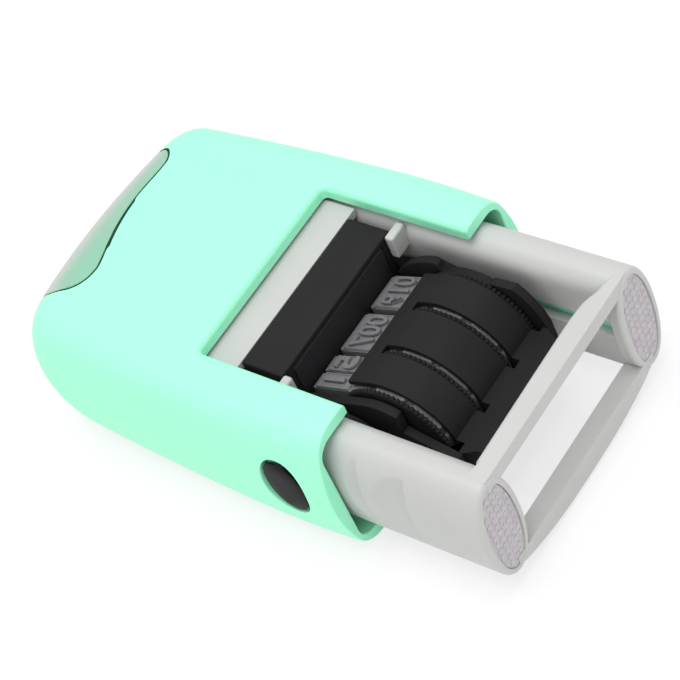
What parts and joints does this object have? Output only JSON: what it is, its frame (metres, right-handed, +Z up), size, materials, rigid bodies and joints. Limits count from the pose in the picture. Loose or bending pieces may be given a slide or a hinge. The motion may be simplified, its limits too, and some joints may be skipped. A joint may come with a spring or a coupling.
{
  "type": "date stamp",
  "caption": "Self-inking pocket date stamp with a sliding frame, a turning date unit, four thumb wheels, lock buttons and a clear cap.",
  "frame": {"origin": "middle of the back face's outline, on the plane that the stamp lies on", "axes": "+X across the stamp away from the side whose lock button the picture shows, +Y along the stroke from the feet to the clear cap, +Z up from the back face to the windowed front"},
  "size_m": [0.044, 0.0752, 0.0214],
  "materials": {
    "mint_plastic": "smooth mint green plastic",
    "clear_plastic": "clear polished plastic",
    "card": "plain coated card",
    "black_plastic": "smooth black plastic",
    "grey_plastic": "smooth light grey plastic",
    "tray_plastic": "satin black plastic",
    "ink_felt": "felt soaked with black ink",
    "foot_rubber": "soft grey rubber with fine pips",
    "type_rubber": "moulded grey type rubber",
    "steel": "drawn steel wire"
  },
  "bodies": {
    "cover": {"cover_shell": "mint_plastic", "index_card": "card", "cover_yoke": "black_plastic", "return_spring": "steel"},
    "cap": {"clear_cap": "clear_plastic"},
    "button_left": {"lock_button_left": "black_plastic"},
    "button_right": {"lock_button_right": "black_plastic"},
    "frame": {"frame_body": "grey_plastic", "foot_cap_left": "grey_plastic", "foot_cap_right": "grey_plastic", "foot_pad_left": "foot_rubber", "foot_pad_right": "foot_rubber", "guide_strip_left": "mint_plastic", "guide_strip_right": "mint_plastic", "ink_tray": "tray_plastic", "ink_pad": "ink_felt"},
    "dater": {"cheek_left": "black_plastic", "cheek_right": "black_plastic", "casing_front": "black_plastic", "casing_back": "black_plastic", "platen_bar": "black_plastic", "wheel_axle": "steel", "day_tens_band": "type_rubber", "day_units_band": "type_rubber", "month_band": "type_rubber", "year_band": "type_rubber"},
    "day_tens": {"day_tens_wheel": "black_plastic"},
    "day_units": {"day_units_wheel": "black_plastic"},
    "month": {"month_wheel": "black_plastic"},
    "year": {"year_wheel": "black_plastic"}
  },
  "joints": [
    {"name": "frame_slide", "type": "slide", "parent": "cover", "child": "frame", "axis": [0, 1, 0], "range_m": [0, 0.0152], "stiffness_N_per_m": 300, "springref_m": -0.004, "deforming": ["return_spring"]},
    {"name": "dater_flip", "type": "hinge", "parent": "cover", "child": "dater", "pos_m": [0, -0.0144, 0.0107], "axis": [-1, 0, 0], "range_deg": [0, 180]},
    {"name": "day_tens_turn", "type": "hinge", "parent": "dater", "child": "day_tens", "pos_m": [0, -0.019, 0.0107], "axis": [1, 0, 0], "continuous": true},
    {"name": "day_units_turn", "type": "hinge", "parent": "dater", "child": "day_units", "pos_m": [0, -0.019, 0.0107], "axis": [1, 0, 0], "continuous": true},
    {"name": "month_turn", "type": "hinge", "parent": "dater", "child": "month", "pos_m": [0, -0.019, 0.0107], "axis": [1, 0, 0], "continuous": true},
    {"name": "year_turn", "type": "hinge", "parent": "dater", "child": "year", "pos_m": [0, -0.019, 0.0107], "axis": [1, 0, 0], "continuous": true},
    {"name": "cap_slide", "type": "slide", "parent": "cover", "child": "cap", "axis": [0, 1, 0], "range_m": [0, 0.012]},
    {"name": "button_left_push", "type": "slide", "parent": "cover", "child": "button_left", "axis": [1, 0, 0], "range_m": [0, 0.001], "stiffness_N_per_m": 300, "springref_m": -0.001},
    {"name": "button_right_push", "type": "slide", "parent": "cover", "child": "button_right", "axis": [-1, 0, 0], "range_m": [0, 0.001], "stiffness_N_per_m": 300, "springref_m": -0.001}
  ],
  "couplings": [
    {"joint": "dater_flip", "follows": "frame_slide", "rad_per_m": 206.68}
  ]
}
